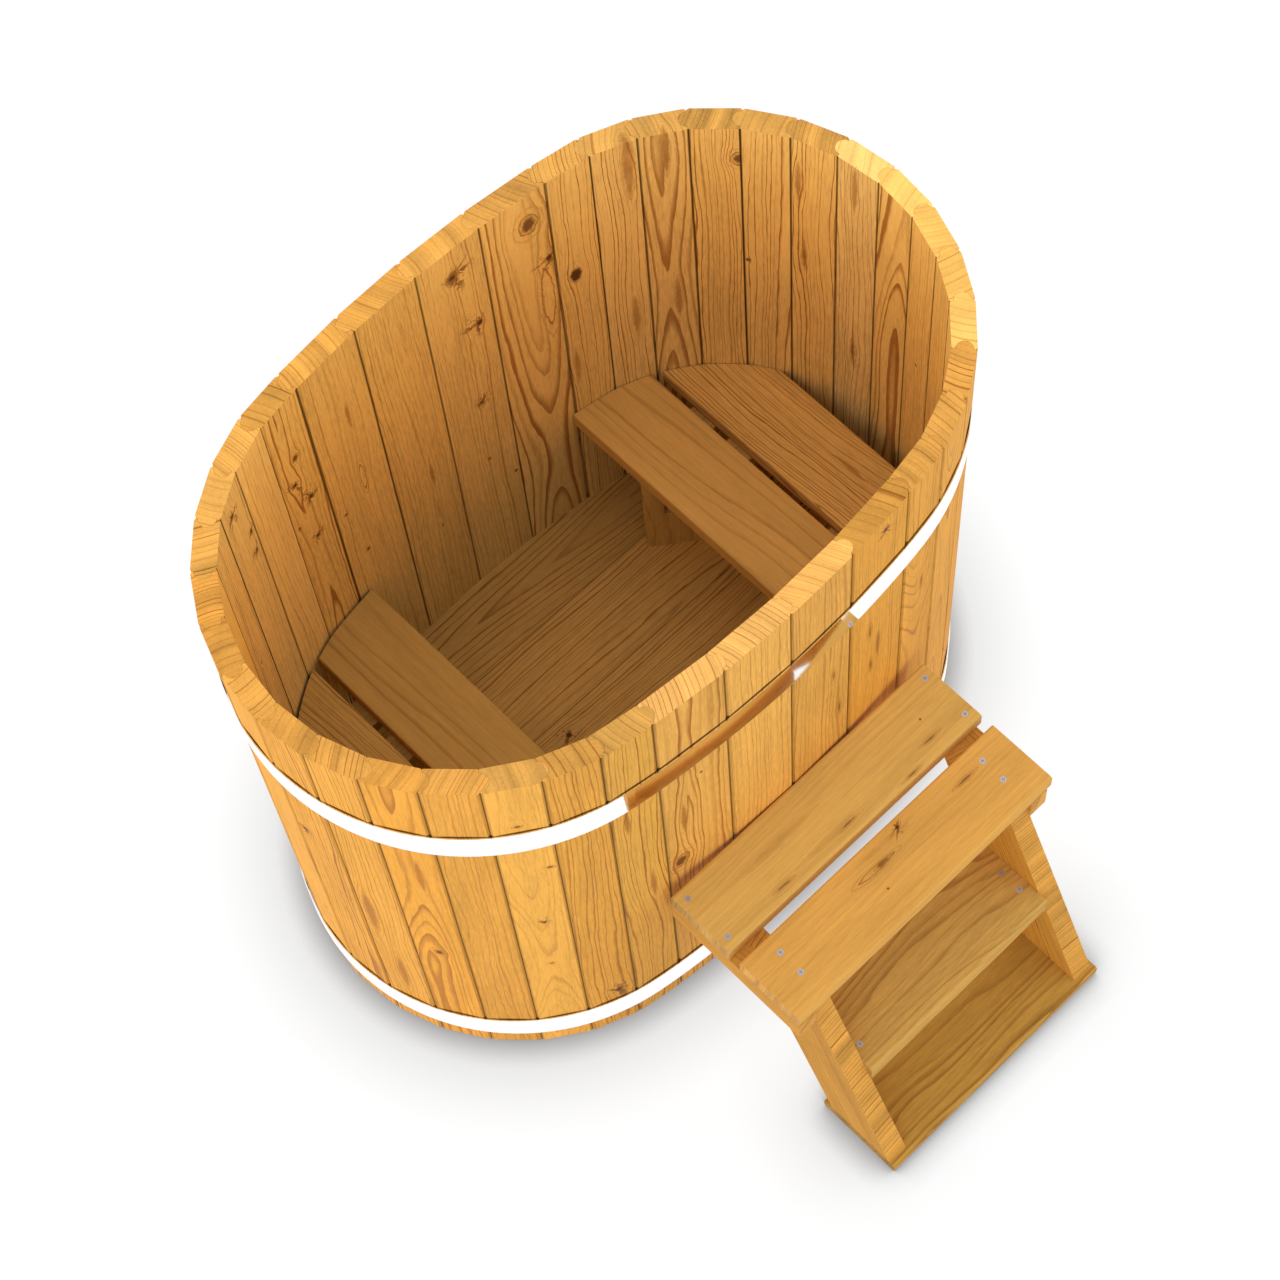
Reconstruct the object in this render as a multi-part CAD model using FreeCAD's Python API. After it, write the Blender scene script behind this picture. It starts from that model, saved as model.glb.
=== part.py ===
import FreeCAD, Part
import math
import os

from FreeCAD import Vector

# Oval wooden hot tub: upright staves held by two steel hoops, a board floor on joists, a bench at
# each end, a drain with a plug, and a step unit that leans on the tub's -Y side.
# Millimetres, +Z up. The origin is on the ground at the tub's centre, and X runs along its length.

# Staves
tub_height = 1200.0
stave_thickness = 42.0
side_stave_width = 140.0
end_stave_width = 95.5
side_staves = 4
end_staves = 14
side_turn = 3.75  # degrees between neighbouring staves of a long side
shoulder_turn = 11.9  # degrees between an end's first two staves; the turn grows evenly to the tip
joint_clearance = 0.3
bead_radius = 15.0  # half-round edge that enters the neighbour's cove
groove_width = 4.5  # each stave's half of the V-groove at an outer joint
groove_depth = 3.5
inner_chamfer = 1.5
croze_depth = 12.0  # groove in the staves that takes the floor's rim

# Floor
floor_top = 90.0
floor_thickness = 42.0
floor_board_width = 170.0  # nominal: the boards share the floor's width evenly
floor_clearance = 0.3
tongue_depth = 10.0
tongue_thickness = 12.0
joist_width = 60.0
joist_spacing = 350.0
joist_count = 3
joist_wall_gap = 2.0

# Hoops, split on the far side and drawn together there by a bolt through two ears
hoop_width = 72.0
hoop_thickness = 2.0
hoop_clearance = 0.3
hoop_bend = 2500.0  # largest bend at a joint, where its staves are wide enough for it
upper_hoop_drop = 174.0  # from the staves' top to the upper hoop's top edge
lower_hoop_height = 51.0  # from the ground to the lower hoop's bottom edge
hoop_split = 40.0
shortest_edge = 0.001  # bends nearer to each other than this meet with no straight run between them
ear_thickness = 3.0
ear_reach = 34.0
bolt_diameter = 10.0
bolt_flats = 17.0
bolt_head_height = 6.4
nut_height = 8.0
bolt_end = 7.0  # what stands out of the nut
bolt_clearance = 0.3

# Benches
bench_top = 435.0
bench_board_thickness = 38.0
bench_front_width = 165.0
bench_slot = 20.0
bench_rear_width = 159.0
left_bench_gap = 72.0  # from the rear board to the wall at the tub's tip
right_bench_gap = 50.0
left_bench_end_gap = 6.0  # from the boards' ends to the wall
right_bench_end_gap = 1.5
bench_end_bend = 300.0  # rounds the boards' ends where the wall turns
bench_edge_round = 4.0
bench_seat_gap = 0.3
bench_cleat_width = 60.0
bench_cleat_height = 30.0
bench_cleat_inset = 20.0
bench_cleat_places = (135.0, 232.0)  # distances of the cleats from the tub's centre line
post_width = 41.0
post_thickness = 30.0
post_setback = 41.0  # from the bench's front edge to the front post's centre
trestle_angle = 38.0
trestle_foot_height = 27.0
trestle_rail_height = 103.0

# Drain, under the right bench
drain_joist_gap = 30.0  # from the outermost joist to the ring nut
drain_bore_radius = 19.0
drain_tube_radius = 25.0
drain_flange_radius = 40.0
drain_flange_thickness = 4.0
drain_tail = 36.0  # what stands out below the floor
drain_clearance = 0.3
ring_nut_radius = 38.0
ring_nut_height = 10.0
plug_depth = 24.0
plug_taper = 1.5
plug_rim_radius = 26.0
plug_rim_height = 6.0
plug_stem_radius = 6.0
plug_stem_height = 14.0
plug_knob_radius = 11.0

# Step unit
step_offset = 8.0  # its centre line along X
step_wall_gap = 0.5
legs_outer_width = 532.0
leg_thickness = 42.0
leg_width = 133.5
leg_lean = 24.5  # degrees from upright
platform_top = 529.0
platform_thickness = 38.0
platform_overhang = 9.0  # past the right cleat; the left one is flush
platform_gap = 24.0
step_board_width = 143.0
step_nose = 22.0  # what platform and tread stand out past the legs' front
step_edge_round = 6.0
platform_cleat_width = 40.0
platform_cleat_height = 56.0
tread_top = 278.0
tread_width = 172.0
tread_thickness = 52.0
tread_edge_round = 7.0
tread_side_gap = 0.3
bearer_width = 40.0
bearer_height = 40.0
bearer_length = 100.0
base_length = 538.0
base_width = 178.0
base_thickness = 29.0

# Screws of the step unit
screw_length = 80.0
screw_radius = 2.5
screw_head_radius = 6.0
screw_head_height = 4.0
screw_point = 6.0
screw_clearance = 0.15
screw_sink = 0.2
recess_length = 6.0
recess_width = 1.3
recess_depth = 2.0
cleat_screw_inset = 18.5  # from the platform boards' ends to the screws over the cleats
leg_screw_inset = 62.0  # and to those over the legs
rear_screw_inset = 23.0  # from the rear platform board's edges
front_screw_inset = 36.0  # from the front platform board's rear edge
front_screw_spacing = 49.0
tread_screw_inset = 71.5  # from the tread's front edge to the middle of its screws and bearers
tread_screw_spacing = 44.0


def direction(heading):
    """Unit vector in plan at a heading in degrees."""
    angle = math.radians(heading)
    return Vector(math.cos(angle), math.sin(angle), 0)


def box(low, high):
    """Box between two corners."""
    size = high - low
    return Part.makeBox(size.x, size.y, size.z, low)


def board(low, high, along, radius):
    """Box with its four edges along one axis rounded."""
    solid = box(low, high)
    edges = [e for e in solid.Edges if abs(e.tangentAt(e.FirstParameter).dot(along)) > 0.5]
    return solid.makeFillet(radius, edges)


def prism(points, low, high):
    """Upright prism over a closed outline in plan."""
    corners = [Vector(p.x, p.y, low) for p in points]
    face = Part.Face(Part.makePolygon(corners + corners[:1]))
    return face.extrude(Vector(0, 0, high - low))


def turned(profile, centre):
    """Solid of revolution about an upright axis, from (radius, height) corners that end on the axis."""
    corners = [Vector(radius, 0, height) for radius, height in profile]
    face = Part.Face(Part.makePolygon(corners + corners[:1]))
    solid = face.revolve(Vector(0, 0, 0), Vector(0, 0, 1), 360)
    solid.translate(centre)
    return solid


def mirrored(solid, normal):
    """Mirror image through the tub's centre."""
    return solid.mirror(Vector(0, 0, 0), normal)


# Plan of the tub

def stave_ring():
    """Name, heading and width of each stave, anticlockwise from the far side's +X end."""
    steps_to_tip = [min(k, end_staves - 2 - k) for k in range(end_staves - 1)]
    spare = 180 - (side_staves + 1) * side_turn - (end_staves - 1) * shoulder_turn
    growth = spare / sum(steps_to_tip)
    ring = []
    for middle, side, end in ((180, "far", "left"), (360, "near", "right")):
        heading = middle - (side_staves - 1) / 2 * side_turn
        for k in range(side_staves):
            ring.append((f"stave_{side}_{k + 1}", heading, side_stave_width))
            heading += side_turn
        for k in range(end_staves):
            ring.append((f"stave_{end}_{k + 1:02d}", heading, end_stave_width))
            heading += shoulder_turn + growth * min(k, end_staves - 2 - k)
    return ring


ring = stave_ring()


def joint_headings(i):
    """Headings of the staves before and after joint i."""
    return ring[i - 1][1] - (360 if i == 0 else 0), ring[i][1]


def outline(inset):
    """Joints of the staves, moved in from the outer faces; joint i starts stave i."""
    corners = [Vector(0, 0, 0)]
    for _, heading, width in ring[:-1]:
        corners.append(corners[-1] + direction(heading) * width)
    centre = (corners[0] + corners[len(ring) // 2]) * 0.5
    moved = []
    for i, corner in enumerate(corners):
        before, after = joint_headings(i)
        inward = direction((before + after) / 2 + 90)
        reach = inset / math.cos(math.radians(after - before) / 2)
        moved.append(corner - centre + inward * reach)
    return moved


outer_joints = outline(0)
inner_joints = outline(stave_thickness)
tub_half_width = max(p.y for p in outer_joints)
inner_half_length = max(p.x for p in inner_joints)
floor_bottom = floor_top - floor_thickness


# Staves

def stave_edge(i, pull, radius, heading):
    """Corners of a stave's edge at joint i from the outer face to the inner one, and its arc's middle."""
    outer = outer_joints[i % len(ring)]
    inner = inner_joints[i % len(ring)]
    inward = (inner - outer).normalize()
    onward = Vector(inward.y, -inward.x, 0)
    middle = (outer + inner) * 0.5
    half = math.sqrt(radius ** 2 - pull ** 2)
    shift = onward * pull
    side = direction(heading) * math.copysign(1, pull)
    return {
        "face_out": outer + shift + side * groove_width,
        "edge_out": outer + shift + inward * groove_depth,
        "arc_out": middle + shift - inward * half,
        "arc_mid": middle + onward * radius,
        "arc_in": middle + shift + inward * half,
        "edge_in": inner + shift - inward * inner_chamfer,
        "face_in": inner + shift + side * inner_chamfer,
    }


def make_stave(i, croze):
    """One stave: cove on its first edge, bead on its second, cut by the croze."""
    heading = ring[i][1]
    pull = joint_clearance / 2
    cove = stave_edge(i, pull, bead_radius + joint_clearance, heading)
    bead = stave_edge(i + 1, -pull, bead_radius, heading)
    path = [
        Part.LineSegment(cove["face_out"], bead["face_out"]),
        Part.LineSegment(bead["face_out"], bead["edge_out"]),
        Part.LineSegment(bead["edge_out"], bead["arc_out"]),
        Part.Arc(bead["arc_out"], bead["arc_mid"], bead["arc_in"]),
        Part.LineSegment(bead["arc_in"], bead["edge_in"]),
        Part.LineSegment(bead["edge_in"], bead["face_in"]),
        Part.LineSegment(bead["face_in"], cove["face_in"]),
        Part.LineSegment(cove["face_in"], cove["edge_in"]),
        Part.LineSegment(cove["edge_in"], cove["arc_in"]),
        Part.Arc(cove["arc_in"], cove["arc_mid"], cove["arc_out"]),
        Part.LineSegment(cove["arc_out"], cove["edge_out"]),
        Part.LineSegment(cove["edge_out"], cove["face_out"]),
    ]
    face = Part.Face(Part.Wire([piece.toShape() for piece in path]))
    return face.extrude(Vector(0, 0, tub_height)).cut(croze)


def make_staves():
    """All staves by name."""
    croze = prism(outline(stave_thickness - croze_depth),
                  floor_bottom - floor_clearance, floor_top + floor_clearance)
    return {name: make_stave(i, croze) for i, (name, _, _) in enumerate(ring)}


# Floor and drain

joist_places = [(k - (joist_count - 1) / 2) * joist_spacing for k in range(joist_count)]
drain_place = Vector(joist_places[-1] + joist_width / 2 + drain_joist_gap + ring_nut_radius, 0, 0)


def make_floor_boards():
    """Tongued and grooved boards along X, cut to the croze and bored for the drain."""
    rim = outline(stave_thickness - croze_depth + floor_clearance)
    shape = prism(rim, floor_bottom, floor_top)
    half_width = max(p.y for p in rim)
    half_length = max(p.x for p in rim)
    count = max(1, round(2 * half_width / floor_board_width))
    pitch = 2 * half_width / count
    hole = Part.makeCylinder(drain_tube_radius + drain_clearance, floor_thickness,
                             drain_place + Vector(0, 0, floor_bottom))
    tongue_low = (floor_top + floor_bottom - tongue_thickness) / 2
    groove_room = Vector(0, floor_clearance, floor_clearance)
    boards = []
    for k in range(count):
        low = k * pitch - half_width + floor_clearance / 2
        high = low + pitch - floor_clearance
        plank = box(Vector(-half_length, low, floor_bottom), Vector(half_length, high, floor_top))
        if k < count - 1:
            plank = plank.fuse(box(Vector(-half_length, high, tongue_low),
                                   Vector(half_length, high + tongue_depth, tongue_low + tongue_thickness)))
        if k > 0:
            mouth = low - floor_clearance
            plank = plank.cut(box(Vector(-half_length, mouth, tongue_low) - Vector(0, 0, groove_room.z),
                                  Vector(half_length, mouth + tongue_depth, tongue_low + tongue_thickness)
                                  + groove_room))
        boards.append(plank.removeSplitter().common(shape).cut(hole))
    return boards


def make_joists():
    """Joists across the tub that carry the floor on the ground."""
    room = prism(outline(stave_thickness + joist_wall_gap), 0, floor_bottom)
    joists = []
    for middle in joist_places:
        bar = box(Vector(middle - joist_width / 2, -tub_half_width, 0),
                  Vector(middle + joist_width / 2, tub_half_width, floor_bottom))
        joists.append(bar.common(room))
    return joists


def make_drain():
    """Flanged outlet through the floor, and the ring nut that holds it from below."""
    flange_seat = drain_place + Vector(0, 0, floor_top)
    foot = drain_place + Vector(0, 0, floor_bottom - drain_tail)
    tube_height = floor_thickness + drain_tail
    body = Part.makeCylinder(drain_flange_radius, drain_flange_thickness, flange_seat)
    body = body.fuse(Part.makeCylinder(drain_tube_radius, tube_height, foot))
    body = body.cut(Part.makeCylinder(drain_bore_radius, tube_height + drain_flange_thickness, foot))
    seat = drain_place + Vector(0, 0, floor_bottom - ring_nut_height)
    nut = Part.makeCylinder(ring_nut_radius, ring_nut_height, seat)
    nut = nut.cut(Part.makeCylinder(drain_tube_radius + drain_clearance, ring_nut_height, seat))
    return [body.removeSplitter(), nut]


def make_plug():
    """Tapered stopper with a rim, a stem and a round knob."""
    body_radius = drain_bore_radius - drain_clearance
    rim_top = plug_rim_height
    knob_low = rim_top + plug_stem_height
    profile = [
        (0, -plug_depth),
        (body_radius - plug_taper, -plug_depth),
        (body_radius, 0),
        (plug_rim_radius, 0),
        (plug_rim_radius, rim_top),
        (plug_stem_radius, rim_top),
        (plug_stem_radius, knob_low),
        (0, knob_low),
    ]
    seat = drain_place + Vector(0, 0, floor_top + drain_flange_thickness + drain_clearance)
    plug = turned(profile, seat)
    knob = Part.makeSphere(plug_knob_radius, seat + Vector(0, 0, knob_low))
    return plug.fuse(knob).removeSplitter()


# Hoops

def joint_bend(i, corners, radius):
    """Half the turn at joint i, and how far from it a bend of the radius starts, at most half a stave."""
    before, after = joint_headings(i)
    half_turn = math.radians(after - before) / 2
    neighbours = (corners[i - 1], corners[(i + 1) % len(corners)])
    room = min((corners[i] - neighbour).Length for neighbour in neighbours) / 2
    return half_turn, min(radius * math.tan(half_turn), room)


def rounded_ring(spread, radius):
    """Closed wire along the staves' faces, moved out by spread, with a bend at each joint."""
    corners = outline(-spread)
    bends = []
    for i, corner in enumerate(corners):
        before, after = joint_headings(i)
        half_turn, tangent = joint_bend(i, corners, radius)
        bend = tangent / math.tan(half_turn)
        inward = direction((before + after) / 2 + 90)
        middle = corner + inward * (bend / math.cos(half_turn) - bend)
        bends.append((corner - direction(before) * tangent, middle, corner + direction(after) * tangent))
    pieces = []
    for i, (start, middle, end) in enumerate(bends):
        pieces.append(Part.Arc(start, middle, end).toShape())
        onward = bends[(i + 1) % len(bends)][0]
        if (onward - end).Length > shortest_edge:
            pieces.append(Part.LineSegment(end, onward).toShape())
    return Part.Wire(pieces)


def hoop_stand_off():
    """Distance from the staves' faces at which the bent band clears the shoulders of their grooves."""
    depths = []
    for i in range(len(ring)):
        half_turn, tangent = joint_bend(i, outer_joints, hoop_bend)
        bend = tangent / math.tan(half_turn)
        depths.append(bend - math.sqrt(bend ** 2 - (tangent - groove_width) ** 2))
    return max(depths)


hoop_spread = hoop_clearance + hoop_stand_off()
bolt_place = tub_half_width + hoop_spread + hoop_thickness + ear_reach / 2


def make_hoop(low):
    """Band round the staves, with its ends bent out as two bored ears."""
    outer = Part.Face(rounded_ring(hoop_spread + hoop_thickness, hoop_bend + hoop_thickness))
    inner = Part.Face(rounded_ring(hoop_spread, hoop_bend))
    band = outer.extrude(Vector(0, 0, hoop_width)).cut(inner.extrude(Vector(0, 0, hoop_width)))
    root = tub_half_width + hoop_clearance
    half = hoop_split / 2
    tip = tub_half_width + hoop_spread + hoop_thickness + ear_reach
    band = band.cut(box(Vector(-half, 0, 0), Vector(half, tip, hoop_width)))
    for edge in (-half - ear_thickness, half):
        band = band.fuse(box(Vector(edge, root, 0), Vector(edge + ear_thickness, tip, hoop_width)))
    hole = Part.makeCylinder(bolt_diameter / 2 + bolt_clearance, hoop_split + 2 * ear_thickness,
                             Vector(-half - ear_thickness, bolt_place, hoop_width / 2), Vector(1, 0, 0))
    band = band.cut(hole).removeSplitter()
    band.translate(Vector(0, 0, low))
    return band


def hexagon(start, height):
    """Six-sided bar along X, with bolt_flats across its flats."""
    radius = bolt_flats / math.sqrt(3)
    corners = []
    for k in range(6):
        angle = math.radians(60 * k)
        corners.append(start + Vector(0, radius * math.cos(angle), radius * math.sin(angle)))
    face = Part.Face(Part.makePolygon(corners + corners[:1]))
    return face.extrude(Vector(height, 0, 0))


def make_hoop_fastener(low):
    """Bolt and nut that draw a hoop's ears together."""
    seat = hoop_split / 2 + ear_thickness
    height = low + hoop_width / 2
    head = Vector(-seat - bolt_head_height, bolt_place, height)
    shank = Vector(-seat, bolt_place, height)
    along = Vector(1, 0, 0)
    radius = bolt_diameter / 2
    bolt = hexagon(head, bolt_head_height)
    bolt = bolt.fuse(Part.makeCylinder(radius, 2 * seat + nut_height + bolt_end, shank, along))
    nut_start = Vector(seat, bolt_place, height)
    nut = hexagon(nut_start, nut_height)
    nut = nut.cut(Part.makeCylinder(radius + bolt_clearance, nut_height, nut_start, along))
    return [bolt.removeSplitter(), nut]


# Benches, modelled at the +X end

bench_low = floor_top + bench_seat_gap
bench_board_low = bench_top - bench_board_thickness
bench_cleat_low = bench_board_low - bench_cleat_height


def bench_pieces(wall_gap, end_gap):
    """Front board, rear board, cleats and trestles of the bench at the +X end."""
    rear = inner_half_length - wall_gap
    slot_end = rear - bench_rear_width
    slot_start = slot_end - bench_slot
    front = slot_start - bench_front_width
    plan = Part.Face(rounded_ring(-stave_thickness - end_gap, bench_end_bend))
    room = plan.extrude(Vector(0, 0, bench_top))
    boards = []
    for low, high in ((front, slot_start), (slot_end, rear)):
        plank = board(Vector(low, -tub_half_width, bench_board_low),
                      Vector(high, tub_half_width, bench_top), Vector(0, 1, 0), bench_edge_round)
        boards.append(plank.common(room))
    cleats = []
    for middle in bench_cleat_places:
        bar = box(Vector(front + bench_cleat_inset, middle - bench_cleat_width / 2, bench_cleat_low),
                  Vector(rear - bench_cleat_inset, middle + bench_cleat_width / 2, bench_board_low))
        bar = bar.common(room)
        cleats += [bar, mirrored(bar, Vector(0, 1, 0))]
    trestles = []
    for piece in trestle_pieces(front + post_setback):
        trestles += [piece, mirrored(piece, Vector(0, 1, 0))]
    return boards[0], boards[1], cleats, trestles


def trestle_pieces(front_post):
    """Foot, two posts and a rail set slantwise from the outer cleat back to the inner one."""
    inner_place, outer_place = bench_cleat_places
    reach = (outer_place - inner_place) / math.sin(math.radians(trestle_angle))
    half = post_width / 2
    side = post_thickness / 2
    foot = trestle_foot_height
    height = bench_cleat_low - bench_low
    pieces = [
        box(Vector(-half, -side, 0), Vector(reach + half, side, foot)),
        box(Vector(-half, -side, foot), Vector(half, side, height)),
        box(Vector(reach - half, -side, foot), Vector(reach + half, side, height)),
        box(Vector(half, -side, foot), Vector(reach - half, side, foot + trestle_rail_height)),
    ]
    for piece in pieces:
        piece.rotate(Vector(0, 0, 0), Vector(0, 0, 1), -trestle_angle)
        piece.translate(Vector(front_post, outer_place, bench_low))
    return pieces


# Step unit

platform_rear = -(tub_half_width + step_wall_gap)
platform_slot = platform_rear - step_board_width
front_board_rear = platform_slot - platform_gap
platform_front = front_board_rear - step_board_width
platform_low = platform_top - platform_thickness
legs_left = step_offset - legs_outer_width / 2
legs_right = step_offset + legs_outer_width / 2
platform_left = legs_left - platform_cleat_width
platform_right = legs_right + platform_cleat_width + platform_overhang
lean = math.tan(math.radians(leg_lean))
leg_depth = leg_width / math.cos(math.radians(leg_lean))
foot_front = platform_front + step_nose - lean * platform_low
tread_front = foot_front + lean * tread_top - step_nose
tread_rear = tread_front + tread_width
tread_screw_line = tread_front + tread_screw_inset
tread_low = tread_top - tread_thickness
cleat_places = (legs_left - platform_cleat_width / 2, legs_right + platform_cleat_width / 2)
bearer_inset = leg_thickness + bearer_width / 2
bearer_places = (legs_left + bearer_inset, legs_right - bearer_inset)


def screw_seats():
    """Places of the screws' heads, by the board that they go through."""
    rear_rows = (platform_rear - rear_screw_inset, platform_slot + rear_screw_inset)
    front_row = front_board_rear - front_screw_inset
    front_rows = (front_row, front_row - front_screw_spacing)
    tread_rows = (tread_screw_line - tread_screw_spacing / 2, tread_screw_line + tread_screw_spacing / 2)
    cleat_columns = (platform_left + cleat_screw_inset, platform_right - cleat_screw_inset)
    leg_columns = (platform_left + leg_screw_inset, platform_right - leg_screw_inset)
    return {
        "rear": [Vector(x, y, platform_top - screw_sink) for x in cleat_columns for y in rear_rows],
        "front": [Vector(x, y, platform_top - screw_sink) for x in leg_columns for y in front_rows],
        "tread": [Vector(x, y, tread_top - screw_sink) for x in bearer_places for y in tread_rows],
    }


def make_screw(seat):
    """Countersunk screw with a cross recess."""
    profile = [
        (0, 0),
        (screw_head_radius, 0),
        (screw_radius, -screw_head_height),
        (screw_radius, screw_point - screw_length),
        (0, -screw_length),
    ]
    screw = turned(profile, Vector(0, 0, 0))
    long, short = recess_length / 2, recess_width / 2
    for x, y in ((long, short), (short, long)):
        screw = screw.cut(box(Vector(-x, -y, -recess_depth), Vector(x, y, 0)))
    screw.translate(seat)
    return screw


def screw_hole(seat):
    """Clearance hole with a countersink, open at the board's face."""
    head = screw_head_radius + screw_clearance
    shank = screw_radius + screw_clearance
    profile = [
        (0, screw_sink),
        (head, screw_sink),
        (head, 0),
        (shank, -screw_head_height),
        (shank, -screw_length - screw_clearance),
        (0, -screw_length - screw_clearance),
    ]
    return turned(profile, seat)


def drilled(solid, seats):
    """Solid with the holes of the screws that enter it."""
    for seat in seats:
        solid = solid.cut(screw_hole(seat))
    return solid


def make_leg(outer_left):
    """Sloping leg, cut level at the base board and under the platform."""
    low, high = base_thickness, platform_low
    corners = [
        Vector(outer_left, foot_front + lean * low, low),
        Vector(outer_left, foot_front + lean * low + leg_depth, low),
        Vector(outer_left, foot_front + lean * high + leg_depth, high),
        Vector(outer_left, foot_front + lean * high, high),
    ]
    face = Part.Face(Part.makePolygon(corners + corners[:1]))
    return face.extrude(Vector(leg_thickness, 0, 0))


def make_steps():
    """The step unit's pieces by node."""
    seats = screw_seats()
    along = Vector(1, 0, 0)
    rear = board(Vector(platform_left, platform_slot, platform_low),
                 Vector(platform_right, platform_rear, platform_top), along, step_edge_round)
    front = board(Vector(platform_left, platform_front, platform_low),
                  Vector(platform_right, front_board_rear, platform_top), along, step_edge_round)
    tread = board(Vector(legs_left + leg_thickness + tread_side_gap, tread_front, tread_low),
                  Vector(legs_right - leg_thickness - tread_side_gap, tread_rear, tread_top),
                  along, tread_edge_round)
    base = board(Vector(legs_left, foot_front, 0),
                 Vector(legs_left + base_length, foot_front + base_width, base_thickness),
                 along, step_edge_round)
    cleats = []
    half = platform_cleat_width / 2
    cleat_low = platform_low - platform_cleat_height
    for middle in cleat_places:
        bar = box(Vector(middle - half, platform_front, cleat_low),
                  Vector(middle + half, platform_rear, platform_low))
        cleats.append(drilled(bar, seats["rear"]))
    bearers = []
    half = bearer_width / 2
    bearer_low = tread_low - bearer_height
    for middle in bearer_places:
        bar = box(Vector(middle - half, tread_screw_line - bearer_length / 2, bearer_low),
                  Vector(middle + half, tread_screw_line + bearer_length / 2, tread_low))
        bearers.append(drilled(bar, seats["tread"]))
    return {
        "step_platform_rear": drilled(rear, seats["rear"]),
        "step_platform_front": drilled(front, seats["front"]),
        "step_tread": drilled(tread, seats["tread"]),
        "step_base_board": base,
        "step_leg_left": drilled(make_leg(legs_left), seats["front"]),
        "step_leg_right": drilled(make_leg(legs_right - leg_thickness), seats["front"]),
        "step_cleats": cleats,
        "step_tread_bearers": bearers,
        "step_screws": [make_screw(seat) for row in seats.values() for seat in row],
    }


# All pieces by node

def make_benches():
    """Both benches' pieces by node."""
    nodes = {}
    gaps = {
        "left": (left_bench_gap, left_bench_end_gap),
        "right": (right_bench_gap, right_bench_end_gap),
    }
    for side, (wall_gap, end_gap) in gaps.items():
        front, rear, cleats, trestles = bench_pieces(wall_gap, end_gap)
        pieces = {"front_board": [front], "rear_board": [rear], "cleats": cleats, "trestles": trestles}
        for name, solids in pieces.items():
            if side == "left":
                solids = [mirrored(solid, Vector(1, 0, 0)) for solid in solids]
            nodes[f"bench_{side}_{name}"] = solids
    return nodes


def make_hoops():
    """Both hoops and their bolts by node."""
    upper = tub_height - upper_hoop_drop - hoop_width
    return {
        "hoop_upper": make_hoop(upper),
        "hoop_lower": make_hoop(lower_hoop_height),
        "hoop_fasteners": make_hoop_fastener(upper) + make_hoop_fastener(lower_hoop_height),
    }


def make_tub():
    """Every node's solid or list of solids."""
    nodes = make_staves()
    nodes.update(make_hoops())
    nodes["floor_boards"] = make_floor_boards()
    nodes["floor_joists"] = make_joists()
    nodes["drain_fitting"] = make_drain()
    nodes["drain_plug"] = make_plug()
    nodes.update(make_benches())
    nodes.update(make_steps())
    return nodes


os.makedirs("parts", exist_ok=True)
for node, solids in make_tub().items():
    if isinstance(solids, list):
        shape = Part.makeCompound([piece for solid in solids for piece in solid.Solids])
    else:
        shape = solids.Solids[0]
    shape.exportStep(f"parts/{node}.step")
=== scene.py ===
import math
import random

import bpy
from mathutils import Matrix, Vector


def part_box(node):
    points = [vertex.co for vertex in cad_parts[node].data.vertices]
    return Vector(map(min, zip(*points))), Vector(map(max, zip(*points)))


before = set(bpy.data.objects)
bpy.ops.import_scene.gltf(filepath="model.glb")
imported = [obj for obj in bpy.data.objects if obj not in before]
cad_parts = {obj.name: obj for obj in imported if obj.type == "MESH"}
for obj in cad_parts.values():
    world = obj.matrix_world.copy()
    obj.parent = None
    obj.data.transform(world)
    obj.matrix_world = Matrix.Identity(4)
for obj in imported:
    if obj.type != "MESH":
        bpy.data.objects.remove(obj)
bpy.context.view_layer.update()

AXIS_X = Vector((1, 0, 0))
AXIS_Y = Vector((0, 1, 0))
AXIS_Z = Vector((0, 0, 1))

# Kinds of sockets
NUMBER = "NodeSocketFloat"
VECTOR = "NodeSocketVector"
COLOUR = "NodeSocketColor"

# Pairs named edge, depths, heights or rise give where a smooth step starts and where it is full

# Camera, above the tub's near side
camera_place = Vector((-1.4153, -1.8857, 5.3767))
camera_azimuth = math.radians(-37.95)
camera_elevation = math.radians(64.57)
camera_roll = math.radians(-6.59)
camera_lens = 84.75
camera_sensor = 36.0

# Light: an even surround, near the ground brighter from the left and the far side
white = (1.0, 1.0, 1.0, 1.0)
sky_side = 1.20
sky_top = 0.95
sky_rise = (0.0, 0.9)
side_bias = (-0.32, 0.13, 0.0)
top_bias = (0.07, 0.04, 0.0)
bias_rise = (0.1, 0.6)

# Ground: pale for the light that it throws back, white where it is seen, with a soft and a close shadow
ground_half_size = 12.0
ground_pale = (0.80, 0.80, 0.80, 1.0)
ground_shade = (0.08, 0.08, 0.08, 1.0)
ground_glow = 0.945
soft_reach = 0.20
close_reach = 0.06
close_share = 0.56
shadow_power = 1.5
shadow_samples = 8

# Wood, in linear colour
early_gold = (0.94, 0.455, 0.078, 1.0)
late_brown = (0.46, 0.150, 0.018, 1.0)
knot_brown = (0.085, 0.022, 0.006, 1.0)
end_gold = (0.92, 0.45, 0.093, 1.0)
# Painted shade in the staves' joints and grooves, along the floor's seams and above the hoops
crevice_shade_brown = (0.075, 0.036, 0.008, 1.0)
groove_shade_olive = (0.20, 0.105, 0.016, 1.0)

# Sizes in the wood's own coordinates are in millimetres: across a board, into it and along it
millimetres = 1000.0

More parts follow.
